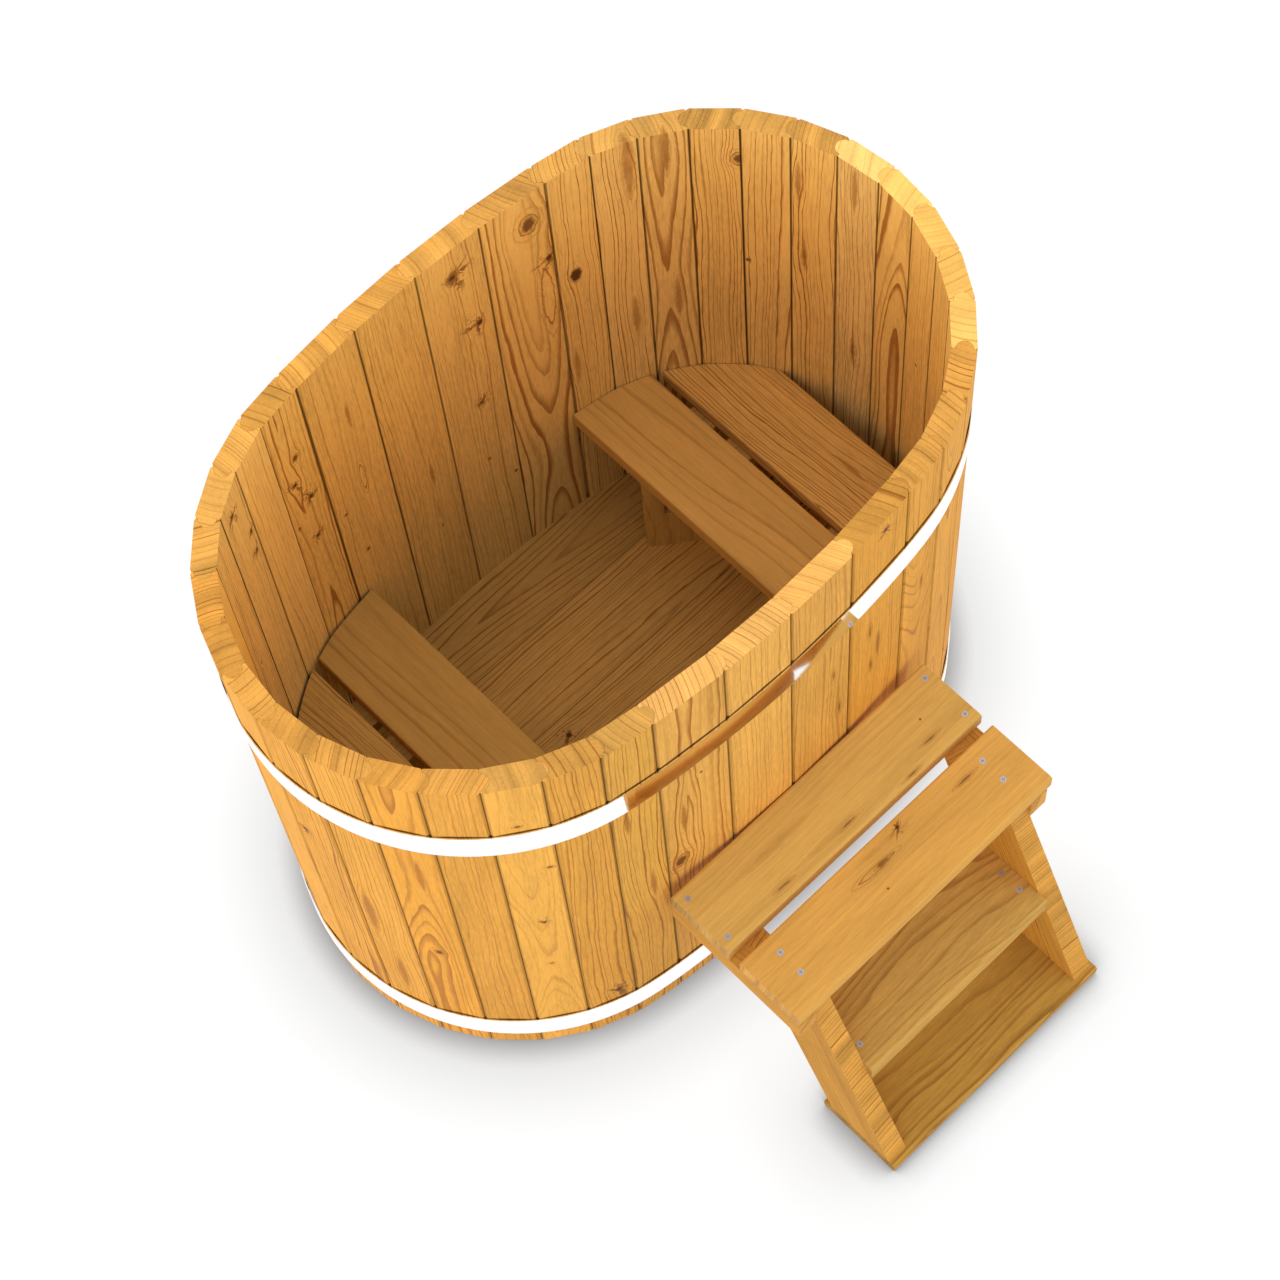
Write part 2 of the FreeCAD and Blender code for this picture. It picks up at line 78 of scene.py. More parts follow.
# Growth rings
ring_bow = 1.6  # 2 gives round rings; less gives pointed arches on the boards
seed_shift = (17.3, 8.9, 129.1)  # how far the timber moves for each step of a board's seed
slow_size = (70, 70, 460)  # waves of the rings
quick_size = (13, 13, 90)  # jagged edges of the rings
sway_length = 650  # bends of the trunk
sway_across = 0.3
off_lattice = 0.5  # keeps noise along a line clear of the points where it is zero
face_jitter = 7.0
end_jitter = 0.8
end_wobble = 0.15
year_rate = 0.45  # how soon wide years follow narrow ones
year_spread = 2.6
year_range = 0.85  # late wood of single years, from the least upwards
year_least = 0.2
late_full = 0.92  # share of a ring's width at which its late wood is full
late_stop_edge = (1.0, 0.95)
end_thin = 0.72

# Fibres, streaks and patches, and what they do to tone, gloss and height
fibre_size = (2.6, 2.6, 30)
fibre_roughness = 0.65
streak_size = (5, 5, 200)
patch_size = (50, 50, 300)
face_fibre = 0.65
quiet_fibre = 0.38
inner_fibre = 0.85
end_fibre = 0.3
streak_tone = 0.26
patch_tone = 0.38
end_year_tone = 0.9
wood_roughness = 0.66
late_gloss = 0.10
fibre_gloss = 0.25
late_height = 0.5
fibre_height = 0.9
wood_bump = 0.3
wood_bump_height = 0.0006
wood_specular = 0.10
facing_edge = (0.6, 0.9)

# Figures of sawn wood: pith across and deep, sway, ring width, start of the late wood, contrast, wobble
figure_kinds = {
    "plain": ((170, 260), 90, 60, (7, 10), 0.66, (0.45, 0.62), 30),
    "smooth": ((120, 180), 90, 80, (14, 20), 0.30, (0.13, 0.18), 45),
    "straight": ((70, 130), 50, 60, (6, 8.5), 0.62, (0.95, 1.15), 32),
    "flame": ((4, 18), 36, 190, (10, 13), 0.48, (1.05, 1.25), 30),
    "faint_flame": ((4, 18), 40, 190, (8, 11), 0.64, (0.55, 0.70), 28),
    "wavy": ((50, 80), 60, 220, (11, 14), 0.42, (0.55, 0.65), 70),
    "lined": ((80, 130), 60, 80, (22, 28), 0.65, 0.45, 50),
    "broad": ((4, 12), 40, 200, (10, 12), 0.50, 0.95, 30),
}
quiet_kinds = ("smooth", "lined")
tone_range = (0.92, 1.07)
seed_range = (0, 90)
end_pith_across = (260, 400)
end_pith_deep = (-80, 80)
end_ring_range = (6, 16)
end_contrast_range = (0.45, 1.35)
end_tone_range = (0.73, 1.01)

# Knots, with distances from the centre in shares of the radius
knot_depth = 14.0  # how far a knot shows into the board
knot_rough_size = 11.0  # grain of a knot's ragged edge
knot_ragged = 0.6
knot_bend = 0.80  # how much of its distance across the grain loses at a knot
knot_bend_fade = 0.28
fill_edge = (1.10, 0.45)
core_edge = (1.0, 0.5)
halo_rate = 9.0
halo_outer_edge = (2.3, 0.9)
halo_inner_edge = (0.5, 0.8)
halo_line_edge = (0.1, 0.95)

# Crooked lines round a star knot
star_bend = (3.4, 0.0, -2.8)
star_spread = 1.7  # more gives more lines
star_length_spread = 0.6
star_length_shift = 0.61
star_length_edge = (-0.15, 0.15)
star_length_range = (1.8, 4.8)
star_fade_edge = (1.0, 0.3)
star_strength = 0.9
star_width_edge = (0.13, 0.05)
star_dark = 0.45

# Knots of the faces that don't show
hidden_most = 2
hidden_forms = ("dot", "eye", "lens")
hidden_height_range = (150, 1100)
hidden_radius_range = (5, 10)
hidden_spread = 0.8

# How each kind of knot shows: its length, dark heart, fill, the rings round it, and pointed or round ends
knot_forms = {
    "eye": {"Stretch": 1.4, "Core": 0.85, "Dark": 0.70, "Fill": 0.75, "Halo": 0.85, "Pointed": 0.0},
    "star": {"Stretch": 1.2, "Core": 0.75, "Dark": 0.90, "Fill": 0.45, "Halo": 0.15, "Pointed": 0.0},
    "black": {"Stretch": 1.7, "Core": 1.05, "Dark": 0.90, "Fill": 1.0, "Halo": 0.3, "Pointed": 0.0},
    "dot": {"Stretch": 1.2, "Core": 0.75, "Dark": 0.80, "Fill": 0.6, "Halo": 0.0, "Pointed": 0.0},
    "bud": {"Stretch": 0.8, "Core": 0.75, "Dark": 0.70, "Fill": 0.5, "Halo": 0.55, "Pointed": 0.0},
    "lens": {"Stretch": 9.0, "Core": 0.50, "Dark": 0.0, "Fill": 0.75, "Halo": 0.4, "Pointed": 1.0},
    "loop": {"Stretch": 7.0, "Core": 0.50, "Dark": 0.0, "Fill": 0.0, "Halo": 0.90, "Pointed": 0.4},
    "mark": {"Stretch": 5.5, "Core": 0.45, "Dark": 0.52, "Fill": 0.45, "Halo": 0.5, "Pointed": 0.8},
    "streak": {"Stretch": 12.0, "Core": 0.50, "Dark": 0.0, "Fill": 0.3, "Halo": 0.2, "Pointed": 1.0},
}

# Staves: the face that is seen, its figure, and its knots as across, height, radius and form
stave_figures = {
    "stave_far_1": ("inner", "flame", [(-26, 1118, 19, "eye"), (-58, 985, 11, "star"),
                                       (-46, 870, 13, "loop")]),
    "stave_far_2": ("inner", "plain", [(-1, 1123, 12, "star"), (-39, 940, 11, "star"), (-12, 695, 7, "star"),
                                       (-6, 494, 5, "dot"), (-58, 381, 6, "dot")]),
    "stave_far_3": ("inner", "plain", [(-15, 604, 5, "lens"), (-13, 404, 4, "dot"), (-22, 1080, 4, "streak"),
                                       (-8, 1030, 3, "streak"), (-12, 470, 4, "streak")]),
    "stave_far_4": ("inner", "plain", [(-14, 1000, 5, "lens"), (-10, 790, 6, "loop"), (46, 729, 6, "dot"),
                                       (20, 560, 5, "star"), (-12, 560, 5, "streak")]),
    "stave_left_01": ("inner", "flame", [(14, 962, 8, "star"), (-11, 887, 8, "star"), (-3, 1033, 8, "eye"),
                                         (32, 833, 5, "dot"), (0, 760, 7, "star")]),
    "stave_left_02": ("inner", "plain", []),
    "stave_left_03": ("inner", "plain", [(9, 1146, 9, "star"), (-28, 1026, 7, "star"),
                                         (-26, 962, 6, "star")]),
    "stave_left_04": ("inner", "straight", [(10, 780, 5, "dot")]),
    "stave_left_05": ("inner", "plain", []),
    "stave_left_06": ("outer", "straight", [(5, 700, 6, "star")]),
    "stave_left_07": ("outer", "plain", [(10, 300, 5, "dot")]),
    "stave_left_08": ("outer", "straight", [(-27, 784, 8, "star"), (27, 190, 9, "lens")]),
    "stave_left_09": ("outer", "straight", [(-25, 542, 12, "lens"), (0, 260, 10, "lens")]),
    "stave_left_10": ("outer", "flame", [(-2, 456, 9, "eye"), (8, 830, 8, "lens")]),
    "stave_left_11": ("outer", "plain", []),
    "stave_left_12": ("outer", "faint_flame", [(33, 856, 9, "bud"), (5, 613, 6, "star"), (1, 406, 6, "bud"),
                                               (-4, 1048, 9, "bud")]),
    "stave_left_13": ("outer", "straight", [(14, 165, 10, "star")]),
    "stave_left_14": ("outer", "straight", [(15, 576, 7, "lens"), (-20, 900, 6, "lens")]),
    "stave_near_1": ("outer", "flame", [(-44, 590, 17, "eye"), (11, 896, 5, "dot"), (-30, 760, 7, "lens")]),
    "stave_near_2": ("outer", "plain", []),
    "stave_near_3": ("outer", "plain", [(45, 664, 6, "mark"), (30, 820, 5, "mark")]),
    "stave_near_4": ("outer", "plain", [(11, 1165, 7, "star"), (-18, 839, 7, "mark"), (-12, 700, 6, "mark"),
                                        (5, 760, 6, "lens")]),
    "stave_right_01": ("outer", "faint_flame", [(8, 800, 6, "mark")]),
    "stave_right_02": ("outer", "faint_flame", [(0, 900, 6, "mark")]),
    "stave_right_03": ("outer", "straight", []),
    "stave_right_04": ("outer", "plain", [(0, 500, 5, "dot")]),
    "stave_right_05": ("inner", "plain", []),
    "stave_right_06": ("inner", "plain", [(0, 790, 5, "dot")]),
    "stave_right_07": ("inner", "flame", []),
    "stave_right_08": ("inner", "straight", [(6, 1130, 8, "lens"), (0, 617, 9, "mark")]),
    "stave_right_09": ("inner", "straight", [(29, 1079, 7, "lens"), (18, 860, 6, "lens")]),
    "stave_right_10": ("inner", "straight", [(36, 800, 6, "dot")]),
    "stave_right_11": ("inner", "straight", [(-40, 1113, 13, "eye")]),
    "stave_right_12": ("inner", "flame", [(-3, 1150, 9, "lens"), (-8, 687, 8, "lens")]),
    "stave_right_13": ("inner", "straight", [(-23, 1140, 13, "lens"), (-13, 655, 8, "lens")]),
    "stave_right_14": ("inner", "straight", [(9, 882, 14, "black"), (29, 592, 7, "lens")]),
}

# Boards that show, in the same way, with knots as across, along, radius and form
board_figures = {
    "step_platform_rear": ("smooth", [(-48, -1, 5, "mark"), (-44, 40, 7, "streak"), (-50, 158, 5, "mark"),
                                      (-62, -145, 5, "mark"), (0, -229, 3, "dot"), (-38, -214, 5, "mark"),
                                      (14, 120, 9, "streak")]),
    "step_platform_front": ("smooth", [(54, -55, 6, "star"), (50, -20, 7, "streak"), (33, -202, 6, "mark"),
                                       (27, 25, 6, "loop"), (27, 10, 4, "mark"), (-13, 37, 3, "dot")]),
    "step_tread": ("wavy", []),
    "step_base_board": ("wavy", []),
    "step_leg_left": ("straight", []),
    "step_leg_right": ("straight", []),
    "bench_right_front_board": ("lined", []),
    "bench_right_rear_board": ("straight", [(20, -60, 5, "lens")]),
    "bench_left_front_board": ("lined", []),
    "bench_left_rear_board": ("straight", []),
    "floor_boards": ("straight", [(48, 105, 8, "star")]),
}
boards_along_y = (
    "bench_left_front_board", "bench_left_rear_board", "bench_right_front_board", "bench_right_rear_board",
    "floor_joists", "step_cleats", "step_tread_bearers",
)

# Tints of the boards and of some staves, by the start of the piece's name; the first that fits is taken.
# They are partly each piece's own tone and partly painted light and shade: the tread and base board darker
# under the platform, the benches, trestles and floor less red deep inside the tub.
plain_tint = (1.0, 1.0, 1.0)
tone_and_painted_light = {
    "stave_near_1": (0.89, 0.93, 1.10),
    "stave_near_2": (0.98, 1.05, 1.28),
    "stave_near_3": (0.90, 0.94, 1.10),
    "stave_near_4": (0.88, 0.88, 0.84),
    **dict.fromkeys(["stave_right_0" + digit for digit in "12"], (0.92, 0.92, 0.91)),
    **dict.fromkeys(["stave_right_0" + digit for digit in "789"], (1.09, 1.15, 1.27)),
    "stave_right_10": (1.06, 1.12, 1.23),
    "stave_right_1": (1.01, 1.06, 1.15),
    "stave_left_11": (0.94, 0.92, 0.89),
    "stave_left_12": (0.98, 1.02, 1.06),
    "stave_left_13": (0.88, 0.88, 0.84),
    "stave_left_14": (0.84, 0.90, 0.95),
    **dict.fromkeys(["stave_left_0" + digit for digit in "1234"], (1.07, 1.08, 1.06)),
    "stave_left": (1.02, 0.98, 0.88),
    "bench_right_trestles": (0.78, 1.12, 2.30),
    "bench_right_rear": (0.88, 1.08, 1.80),
    "bench_right": (0.81, 1.00, 1.66),
    "bench_left": (0.55, 0.70, 1.12),
    "floor": (0.74, 0.92, 1.55),
    "step_platform_rear": (0.76, 0.94, 1.40),
    "step_platform_front": (0.86, 0.95, 1.24),
    "step_tread": (0.74, 0.88, 1.25),
    "step_base": (0.60, 0.67, 0.71),
    "step_leg": (0.77, 0.78, 0.71),
    "step": (0.79, 0.81, 0.83),
}

# Staves whose ends are lighter than the rest, or paler as well
light_end = 0.29
warm_end = 0.12
pale_end = 0.24
pale_tint = (1.04, 1.21, 1.44)
pale_contrast = 0.6
end_shifts = {
    **dict.fromkeys(("stave_near_1", "stave_near_2", "stave_near_3", "stave_far_4"), light_end),
    "stave_left_14": warm_end,
    **dict.fromkeys(["stave_right_0" + digit for digit in "45678"], pale_end),
}

# Staves, the painted shade in their joints and grooves, and the painted shadow along the hoops
stave_thickness = 42.0
flat_tolerance = 0.0003  # metres within which a corner lies on a face
warm_green = 0.03  # how far a stave's green and blue depart from the others'
warm_blue = 0.12
outer_depths = (8, 5)
inner_depths = (30, 36)
inner_contrast = 1.25
# Painted light on the staves' inner faces: paler than the outer faces, and less red towards the bottom of
# the tub
painted_inner_light = (1.08, 1.27, 1.85)
painted_low_inner_light = (0.80, 1.25, 2.90)
painted_low_inner_heights = (1050, 100)
# Painted shade in the outer V-grooves, darker at their bottoms, and in the joints of the inner faces
groove_shade_edge = (-0.6, 0.8)
groove_shade_share = 0.30
groove_bottom_shade_edge = (2.4, 3.8)
groove_bottom_shade_share = 0.65
joint_shade_edge = (-1.4, 0.4)
joint_shade_share_range = (0.55, 0.95)
hoops = ("hoop_upper", "hoop_lower")
# Painted shadow on the staves' outer faces just above each hoop's top edge
hoop_shadow_top_edge = (3.2, 1.2)
hoop_shadow_low_edge = (-4, -2)
hoop_shadow_share = 0.7

# Floor and legs
floor_board_count = 5
floor_board_shift = 1370.0  # each floor board is cut from another stretch of timber
floor_shade_range = 0.22
floor_shade_least = 0.90
seam_shade_edge = (1.8, 0.6)
seam_shade_share = 0.6
leg_slant = math.radians(24.5)
sawn_shift = 1200.0  # keeps the saw's marks on the legs' edges clear of the rings' centre
sawn_tone = 1.05

# Metal, plastic and rubber
colour_middle = 0.5
band_dull = (0.94, 0.94, 0.94, 1.0)
brush_scale = (40.0, 40.0, 2500.0)
brush_contrast = 1.5
band_roughness = 0.05
brush_roughness = 0.04
steel_pieces = ("hoop_fasteners", "step_screws")
zinc_dark = (0.44, 0.42, 0.46, 1.0)
zinc_light = (0.66, 0.64, 0.69, 1.0)
zinc_scale = 900.0
zinc_contrast = 1.2
zinc_metallic = 0.8
zinc_roughness = 0.42
mottle_roughness = 0.3
drain_black = (0.05, 0.05, 0.055)
drain_roughness = 0.45
plug_black = (0.02, 0.02, 0.02)
plug_roughness = 0.65
mould_scale = 1600.0
mould_bump = 0.2
mould_bump_height = 0.0003
wear_scale = 60.0
wear_shade = 0.5
wear_roughness = 0.3


class Graph:
    """Adds shader nodes to a tree. Values are numbers, vectors, colours or sockets."""

    def __init__(self, tree):
        self.tree = tree

    def feed(self, socket, value):
        """Links a socket, or sets its value."""
        if isinstance(value, bpy.types.NodeSocket):
            self.tree.links.new(value, socket)
        else:
            socket.default_value = value

    def node(self, kind, inputs=None, **settings):
        """New node; inputs are values or sockets by the input's name or number."""
        made = self.tree.nodes.new(kind)
        for name, value in settings.items():
            setattr(made, name, value)
        for name, value in (inputs or {}).items():
            self.feed(made.inputs[name], value)
        return made

    def math(self, operation, *values):
        """Math node."""
        return self.node("ShaderNodeMath", dict(enumerate(values)), operation=operation).outputs[0]

    def times(self, first, second):
        """Product of two numbers."""
        return self.math("MULTIPLY", first, second)

    def linear(self, value, factor, start):
        """Number times a factor, added to a start."""
        return self.math("MULTIPLY_ADD", value, factor, start)

    def most(self, first, second):
        """The larger of two numbers."""
        return self.math("MAXIMUM", first, second)

    def vector(self, operation, *values):
        """Vector Math node with a vector result."""
        made = self.node("ShaderNodeVectorMath", dict(enumerate(values)), operation=operation)
        return made.outputs["Vector"]

    def measure(self, operation, *values):
        """Vector Math node with a number as its result."""
        made = self.node("ShaderNodeVectorMath", dict(enumerate(values)), operation=operation)
        return made.outputs["Value"]

    def tinted(self, colour, tint):
        """Colour times a tint."""
        return self.vector("MULTIPLY", colour, tint)

    def scale(self, value, factor):
        """Vector or colour times a number."""
        made = self.node("ShaderNodeVectorMath", {0: value, "Scale": factor}, operation="SCALE")
        return made.outputs["Vector"]

    def split(self, value):
        """The three numbers of a vector."""
        return self.node("ShaderNodeSeparateXYZ", {0: value}).outputs[:]

    def join(self, x, y, z):
        """Vector of three numbers."""
        return self.node("ShaderNodeCombineXYZ", {0: x, 1: y, 2: z}).outputs[0]

    def ramp(self, value, low, high, start=0.0, end=1.0):
        """Smooth step from start to end as the value goes from low to high."""
        inputs = {"Value": value, "From Min": low, "From Max": high, "To Min": start, "To Max": end}
        return self.node("ShaderNodeMapRange", inputs, interpolation_type="SMOOTHSTEP").outputs[0]

    def noise(self, place, detail, roughness=0.5):
        """Noise about zero, mostly within a quarter."""
        inputs = {"Vector": place, "Scale": 1.0, "Detail": detail, "Roughness": roughness}
        return self.math("SUBTRACT", self.node("ShaderNodeTexNoise", inputs).outputs["Fac"], 0.5)

    def texture(self, place, size, detail, roughness=0.5):
        """Noise about zero with grains of a size on each axis."""
        inverse = [1 / length for length in size]
        return self.noise(self.vector("MULTIPLY", place, inverse), detail, roughness)

    def random(self, value):
        """White noise of a number, from 0 to 1."""
        return self.node("ShaderNodeTexWhiteNoise", {"W": value}, noise_dimensions="1D").outputs["Value"]

    def between(self, share, first, second):
        """Mix of two numbers."""
        return self.node("ShaderNodeMix", {0: share, 2: first, 3: second}, data_type="FLOAT").outputs[0]

    def mix(self, share, first, second):
        """Mix of two colours."""
        return self.node("ShaderNodeMix", {0: share, 6: first, 7: second}, data_type="RGBA").outputs[2]

    def blend(self, share, first, second):
        """Mix of two vectors."""
        return self.node("ShaderNodeMix", {0: share, 4: first, 5: second}, data_type="VECTOR").outputs[1]

    def object_place(self):
        """Place on the object, in metres."""
        return self.node("ShaderNodeTexCoord").outputs["Object"]


# Groups of nodes that the woods share

def new_group(name, inputs, outputs):
    """Node group with named sockets; returns its graph, its inputs by name and its output node's inputs."""
    tree = bpy.data.node_groups.new(name, "ShaderNodeTree")
    for label, kind in inputs.items():
        tree.interface.new_socket(label, in_out="INPUT", socket_type=kind)
    for label, kind in outputs.items():
        tree.interface.new_socket(label, in_out="OUTPUT", socket_type=kind)
    source = tree.nodes.new("NodeGroupInput")
    target = tree.nodes.new("NodeGroupOutput")
    return Graph(tree), source.outputs, target.inputs


def make_knot_group():
    """Bends the grain round one knot and adds the knot to what is drawn over the grain."""
    vectors = ("Place", "Centre", "Size")
    numbers = ("Rough", "Pointed", "Core", "Dark", "Fill", "Halo", "Grain", "Heart")
    graph, source, target = new_group(
        "knot",
        {**dict.fromkeys(vectors, VECTOR), **dict.fromkeys(numbers, NUMBER)},
        {"Place": VECTOR, "Grain": NUMBER, "Heart": NUMBER},
    )
    offset = graph.vector("SUBTRACT", source["Place"], source["Centre"])
    share = graph.vector("DIVIDE", offset, source["Size"])
    side, deep, long = graph.split(share)
    ends = graph.linear(long, long, graph.times(deep, deep))
    pointed = graph.math("ADD", graph.math("ABSOLUTE", side), ends)
    away = graph.between(source["Pointed"], graph.measure("LENGTH", share), pointed)
    away = graph.linear(source["Rough"], knot_ragged, away)
    near = graph.math("EXPONENT", graph.times(graph.math("POWER", away, 2.0), -knot_bend_fade))
    across, depth, along = graph.split(offset)
    bent = graph.times(across, graph.linear(near, -knot_bend, 1.0))
    graph.feed(target["Place"], graph.vector("ADD", source["Centre"], graph.join(bent, depth, along)))
    inside = graph.times(graph.ramp(away, *fill_edge), source["Fill"])
    rings = graph.math("COSINE", graph.linear(away, halo_rate, -halo_rate))
    halo = graph.times(graph.ramp(away, *halo_outer_edge), graph.ramp(away, *halo_inner_edge))
    halo = graph.times(halo, source["Halo"])
    grain = graph.most(inside, graph.times(graph.ramp(rings, *halo_line_edge), halo))
    graph.feed(target["Grain"], graph.most(source["Grain"], grain))
    core = graph.ramp(graph.math("DIVIDE", away, source["Core"]), *core_edge)
    heart = graph.times(core, source["Dark"])
    graph.feed(target["Heart"], graph.most(source["Heart"], heart))
    return graph.tree


def make_star_group():
    """Thin crooked lines that run out from a knot."""
    vectors = ("Place", "Centre", "Size")
    numbers = ("Rough", "Grain", "Heart")
    graph, source, target = new_group(
        "star",
        {**dict.fromkeys(vectors, VECTOR), **dict.fromkeys(numbers, NUMBER)},
        {"Grain": NUMBER, "Heart": NUMBER},
    )
    offset = graph.vector("SUBTRACT", source["Place"], source["Centre"])
    share = graph.vector("DIVIDE", offset, source["Size"])
    away = graph.measure("LENGTH", share)
    bent = graph.vector("ADD", share, graph.scale(star_bend, source["Rough"]))
    heading = graph.vector("NORMALIZE", bent)
    ray = graph.vector("ADD", graph.scale(heading, star_spread), source["Centre"])
    wide = graph.times(graph.math("ABSOLUTE", graph.noise(ray, detail=0.0)), away)
    shift = graph.scale(source["Centre"], star_length_shift)
    turned = graph.vector("ADD", graph.scale(heading, star_length_spread), shift)
    length = graph.ramp(graph.noise(turned, detail=0.0), *star_length_edge, *star_length_range)
    fade = graph.ramp(graph.math("DIVIDE", away, length), *star_fade_edge, 0.0, star_strength)
    line = graph.times(graph.ramp(wide, *star_width_edge), fade)
    graph.feed(target["Grain"], graph.most(source["Grain"], line))
    graph.feed(target["Heart"], graph.most(source["Heart"], graph.times(line, star_dark)))
    return graph.tree


def make_wood_group():
    """Growth rings, fibres and patches of a sawn board: u across, w into and v along it."""
    vectors = ("Place", "Pith", "End Pith")
    numbers = ("Sway", "Ring", "Thin", "Contrast", "Wobble", "Tone", "Fibre", "Seed", "End", "End Ring",
               "End Contrast", "End Tone", "Grain", "Heart")
    graph, source, target = new_group(
        "wood",
        {**dict.fromkeys(vectors, VECTOR), **dict.fromkeys(numbers, NUMBER)},
        {"Colour": COLOUR, "Roughness": NUMBER, "Height": NUMBER},
    )
    end = source["End"]
    seed = source["Seed"]
    moved = graph.vector("ADD", source["Place"], graph.scale(seed_shift, seed))
    slow = graph.texture(moved, slow_size, detail=1.0)
    quick = graph.texture(moved, quick_size, detail=2.0)
    along = graph.split(moved)[2]
    sway = graph.noise(graph.join(off_lattice, seed, graph.times(along, 1 / sway_length)), detail=0.0)
    sway = graph.times(sway, source["Sway"])
    axis = graph.vector("ADD", source["Pith"], graph.join(graph.times(sway, sway_across), sway, 0.0))
    axis = graph.blend(end, axis, source["End Pith"])
    jitter = graph.times(quick, graph.between(end, face_jitter, end_jitter))
    apart = graph.vector("SUBTRACT", source["Place"], axis)
    apart = graph.vector("ADD", apart, graph.join(jitter, 0.0, 0.0))
    legs = [graph.math("POWER", graph.math("ABSOLUTE", leg), ring_bow) for leg in graph.split(apart)[:2]]
    radius = graph.math("POWER", graph.math("ADD", *legs), 1 / ring_bow)
    wobble = graph.times(source["Wobble"], graph.between(end, 1.0, end_wobble))
    radius = graph.linear(slow, wobble, radius)
    turns = graph.math("DIVIDE", radius, graph.between(end, source["Ring"], source["End Ring"]))
    years = graph.noise(graph.join(graph.times(turns, year_rate), seed, off_lattice), detail=2.0)
    turns = graph.linear(years, year_spread, turns)
    part = graph.math("FRACT", turns)
    year = graph.random(graph.math("ADD", graph.math("FLOOR", turns), seed))
    thin = graph.between(end, source["Thin"], end_thin)
    late = graph.times(graph.ramp(part, thin, late_full), graph.ramp(part, *late_stop_edge))
    late = graph.times(late, graph.linear(year, year_range, year_least))
    late = graph.times(late, graph.between(end, source["Contrast"], source["End Contrast"]))
    fibre = graph.texture(moved, fibre_size, detail=3.0, roughness=fibre_roughness)
    streak = graph.texture(moved, streak_size, detail=2.0)
    patch = graph.texture(moved, patch_size, detail=2.0)
    grain = graph.most(late, source["Grain"])
    colour = graph.mix(end, early_gold, end_gold)
    colour = graph.mix(grain, colour, late_brown)
    colour = graph.mix(source["Heart"], colour, knot_brown)
    end_tone = graph.linear(years, end_year_tone, source["End Tone"])
    tone = graph.between(end, source["Tone"], end_tone)
    tone = graph.linear(fibre, graph.between(end, source["Fibre"], end_fibre), tone)
    tone = graph.linear(patch, patch_tone, tone)
    tone = graph.linear(streak, streak_tone, tone)
    graph.feed(target["Colour"], graph.scale(colour, tone))
    gloss = graph.linear(grain, -late_gloss, wood_roughness)
    graph.feed(target["Roughness"], graph.linear(fibre, fibre_gloss, gloss))
    height = graph.linear(grain, -late_height, late_height)
    graph.feed(target["Height"], graph.linear(fibre, fibre_height, height))
    return graph.tree


knot_tree = make_knot_group()
star_tree = make_star_group()
wood_tree = make_wood_group()


def new_material(name):
    """Empty node material; returns it, its graph and its Principled shader."""
    made = bpy.data.materials.new(name)
    made.use_nodes = True
    made.node_tree.nodes.clear()
    graph = Graph(made.node_tree)
    shader = graph.node("ShaderNodeBsdfPrincipled")
    graph.node("ShaderNodeOutputMaterial", {"Surface": shader.outputs[0]})
    return made, graph, shader


# Figures of sawn wood

def drawn_from(draw, value):
    """The value itself, or one drawn from it where it is a range."""
    return draw.uniform(*value) if isinstance(value, tuple) else value


def make_figure(kind, draw, surface):
    """Values of a board's figure; surface is the depth of the face that is seen."""
    side = draw.choice((-1, 1))
    below = 1 if surface == 0 else -1
    figures = {name: [drawn_from(draw, value) for value in row] for name, row in figure_kinds.items()}
    across, deep, sway, ring, thin, contrast, wobble = figures[kind]
    return {
        "Pith": (side * across, surface + below * deep, 0.0),
        "Sway": sway,
        "Ring": ring,
        "Thin": thin,
        "Contrast": contrast,
        "Wobble": wobble,
        "Tone": draw.uniform(*tone_range),
        "Fibre": quiet_fibre if kind in quiet_kinds else face_fibre,
        "Seed": draw.uniform(*seed_range),
        "End Pith": (side * draw.uniform(*end_pith_across), draw.uniform(*end_pith_deep), 0.0),
        "End Ring": draw.uniform(*end_ring_range),
        "End Contrast": draw.uniform(*end_contrast_range),
        "End Tone": draw.uniform(*end_tone_range),
    }


def random_knots(draw, spread):
    """A few knots for a face that doesn't show."""
    knots = []
    for _ in range(draw.randint(0, hidden_most)):
        across = draw.uniform(-spread, spread)
        height = draw.uniform(*hidden_height_range)
        radius = draw.uniform(*hidden_radius_range)
        knots.append((across, height, radius, draw.choice(hidden_forms)))
    return knots


def grain_place(graph, across, depth, along, origin):
    """Place in a board's own axes, in millimetres from its origin."""
    turn = Matrix((across, depth, along))
    inputs = {
        "Vector": graph.object_place(),
        "Location": turn @ origin * -millimetres,
        "Rotation": turn.to_euler(),
        "Scale": (millimetres, millimetres, millimetres),
    }
    return graph.node("ShaderNodeMapping", inputs).outputs[0]


def facing(graph, axis):
    """1 on the faces that look along an axis."""
    normal = graph.node("ShaderNodeTexCoord").outputs["Normal"]
    turned = graph.math("ABSOLUTE", graph.measure("DOT_PRODUCT", normal, axis))
    return graph.ramp(turned, *facing_edge)


def feed_group(graph, tree, inputs):
    """Group node with its inputs fed; returns its outputs."""
    made = graph.node("ShaderNodeGroup", node_tree=tree)
    for label, value in inputs.items():
        graph.feed(made.inputs[label], value)
    return made.outputs


def feed_bump(graph, shader, strength, distance, height):
    """Bump on a Principled shader."""
    inputs = {"Strength": strength, "Distance": distance, "Height": height}
    graph.feed(shader.inputs["Normal"], graph.node("ShaderNodeBump", inputs).outputs[0])


